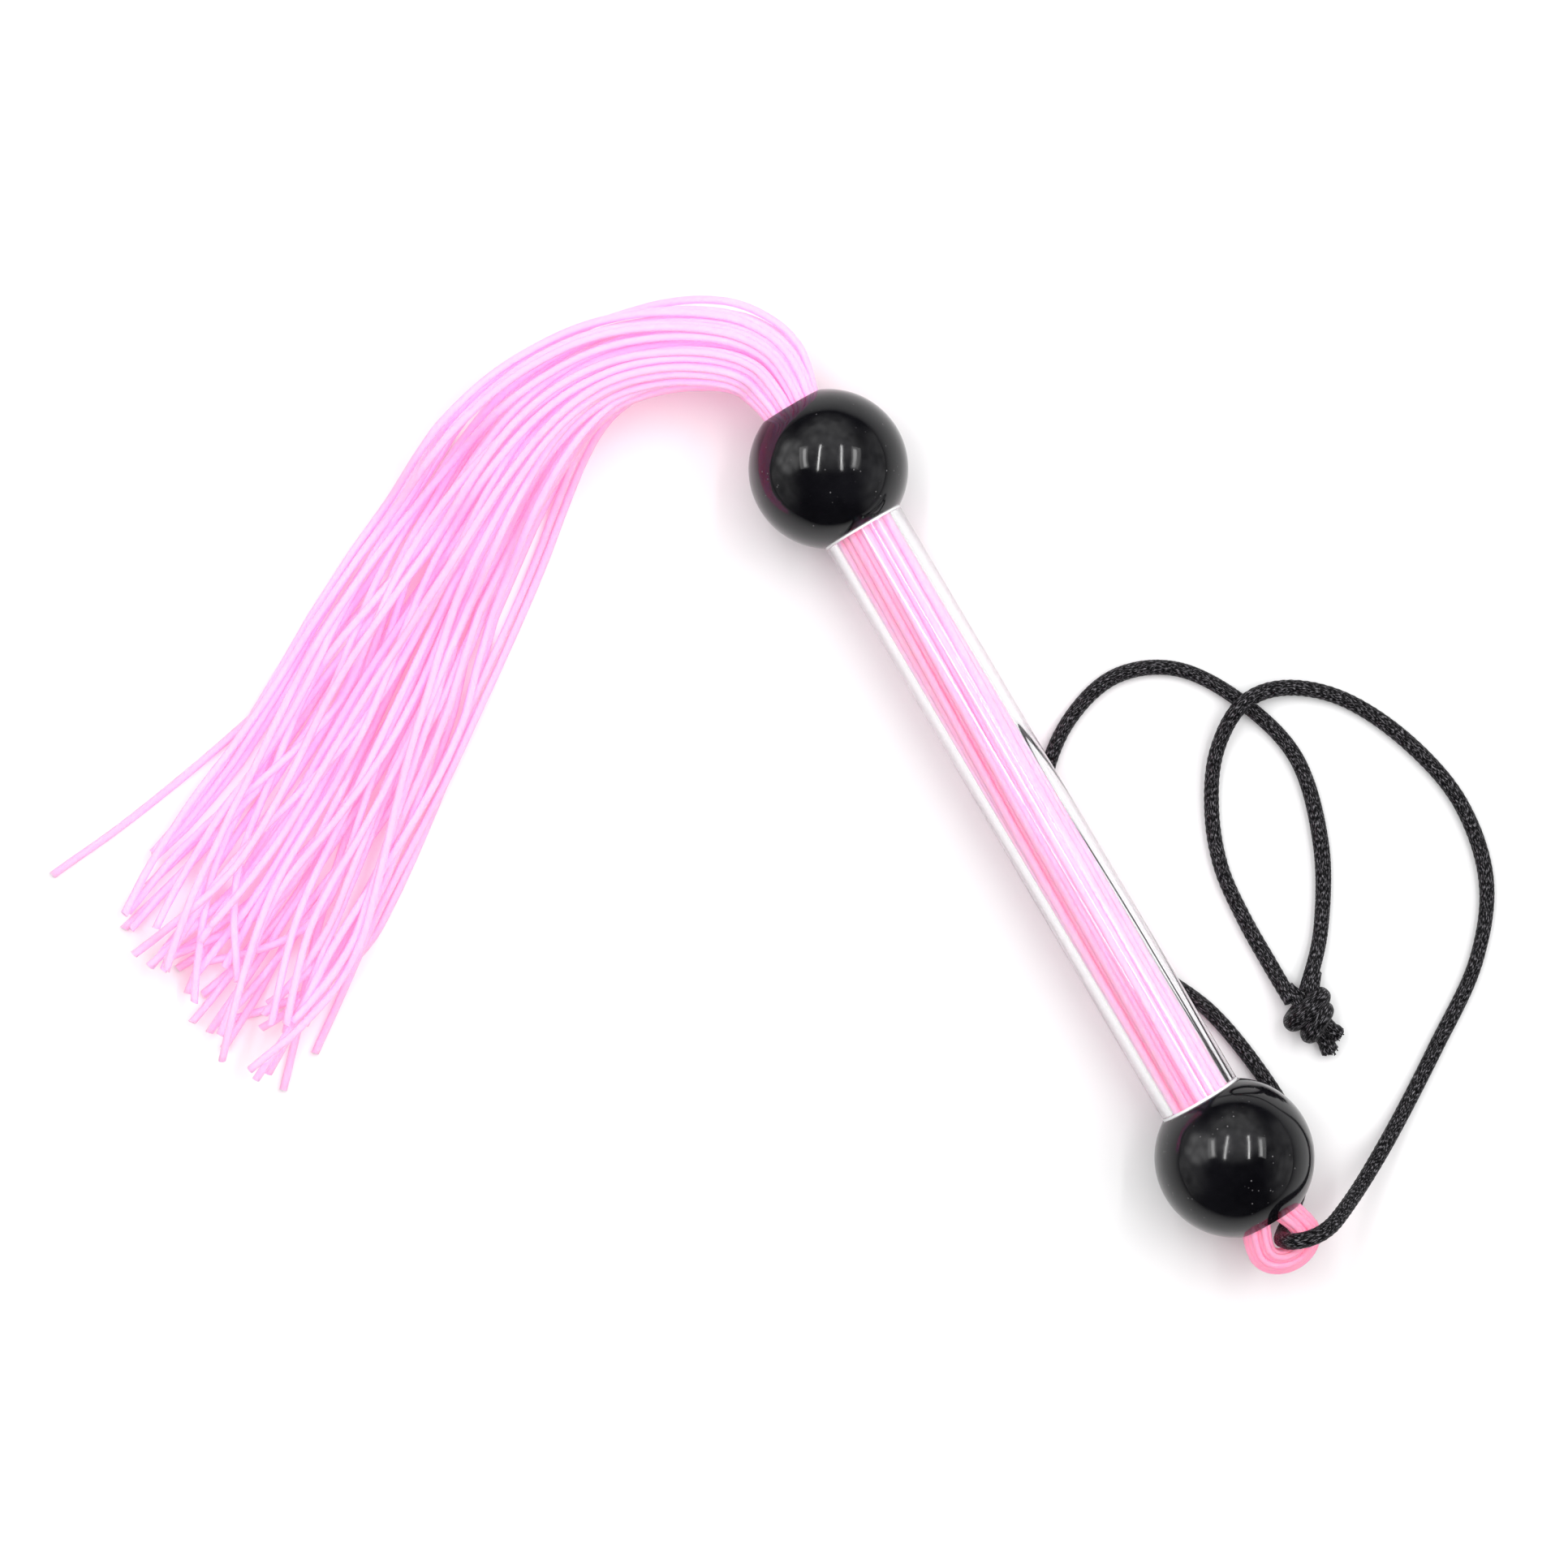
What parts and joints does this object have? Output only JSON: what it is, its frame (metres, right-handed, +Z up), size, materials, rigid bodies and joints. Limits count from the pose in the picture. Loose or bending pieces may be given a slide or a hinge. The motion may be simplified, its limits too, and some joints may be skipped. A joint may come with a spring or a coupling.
{
  "type": "strand whip",
  "caption": "Short multi-strand whip with a clear tube grip between two drilled balls, soft folded strands as its tail, and a knotted cord wrist loop.",
  "frame": {"origin": "centre of the grip, on the tube's axis, midway between the two balls", "axes": "+X along the handle from the butt to the tail, +Z up as it lies on a table; the table is at z = -0.015 m"},
  "size_m": [0.2206, 0.2365, 0.03],
  "materials": {
    "ball_plastic": "polished gloss",
    "clear_tube": "clear, polished",
    "strand_rubber": "translucent satin",
    "cord_satin": "braided satin"
  },
  "bodies": {
    "handle": {"upper_ball": "ball_plastic", "lower_ball": "ball_plastic", "grip_tube": "clear_tube", "strand_01_held": "strand_rubber", "strand_02_held": "strand_rubber", "strand_03_held": "strand_rubber", "strand_04_held": "strand_rubber", "strand_05_held": "strand_rubber", "strand_06_held": "strand_rubber", "strand_07_held": "strand_rubber", "strand_08_held": "strand_rubber", "strand_09_held": "strand_rubber", "strand_10_held": "strand_rubber", "strand_11_held": "strand_rubber", "strand_12_held": "strand_rubber", "strand_13_held": "strand_rubber", "strand_14_held": "strand_rubber", "strand_15_held": "strand_rubber", "strand_16_held": "strand_rubber", "strand_17_held": "strand_rubber", "strand_18_held": "strand_rubber", "strand_19_held": "strand_rubber", "strand_20_held": "strand_rubber", "strand_21_held": "strand_rubber", "strand_22_held": "strand_rubber", "strand_23_held": "strand_rubber", "strand_24_held": "strand_rubber", "strand_25_held": "strand_rubber"},
    "tail": {"strand_01_tail": "strand_rubber", "strand_02_tail": "strand_rubber", "strand_03_tail": "strand_rubber", "strand_04_tail": "strand_rubber", "strand_05_tail": "strand_rubber", "strand_06_tail": "strand_rubber", "strand_07_tail": "strand_rubber", "strand_08_tail": "strand_rubber", "strand_09_tail": "strand_rubber", "strand_10_tail": "strand_rubber", "strand_11_tail": "strand_rubber", "strand_12_tail": "strand_rubber", "strand_13_tail": "strand_rubber", "strand_14_tail": "strand_rubber", "strand_15_tail": "strand_rubber", "strand_16_tail": "strand_rubber", "strand_17_tail": "strand_rubber", "strand_18_tail": "strand_rubber", "strand_19_tail": "strand_rubber", "strand_20_tail": "strand_rubber", "strand_21_tail": "strand_rubber", "strand_22_tail": "strand_rubber", "strand_23_tail": "strand_rubber", "strand_24_tail": "strand_rubber", "strand_25_tail": "strand_rubber"},
    "wrist_loop": {"wrist_cord": "cord_satin", "cord_knot": "cord_satin"}
  },
  "joints": [
    {"name": "tail_swing", "type": "hinge", "parent": "handle", "child": "tail", "pos_m": [0.091, 0, 0], "axis": [0, 0, 1], "range_deg": [-40, 40]},
    {"name": "loop_swing", "type": "hinge", "parent": "handle", "child": "wrist_loop", "pos_m": [-0.0928, 0, 0], "axis": [0, 0, 1], "range_deg": [-90, 0]}
  ]
}
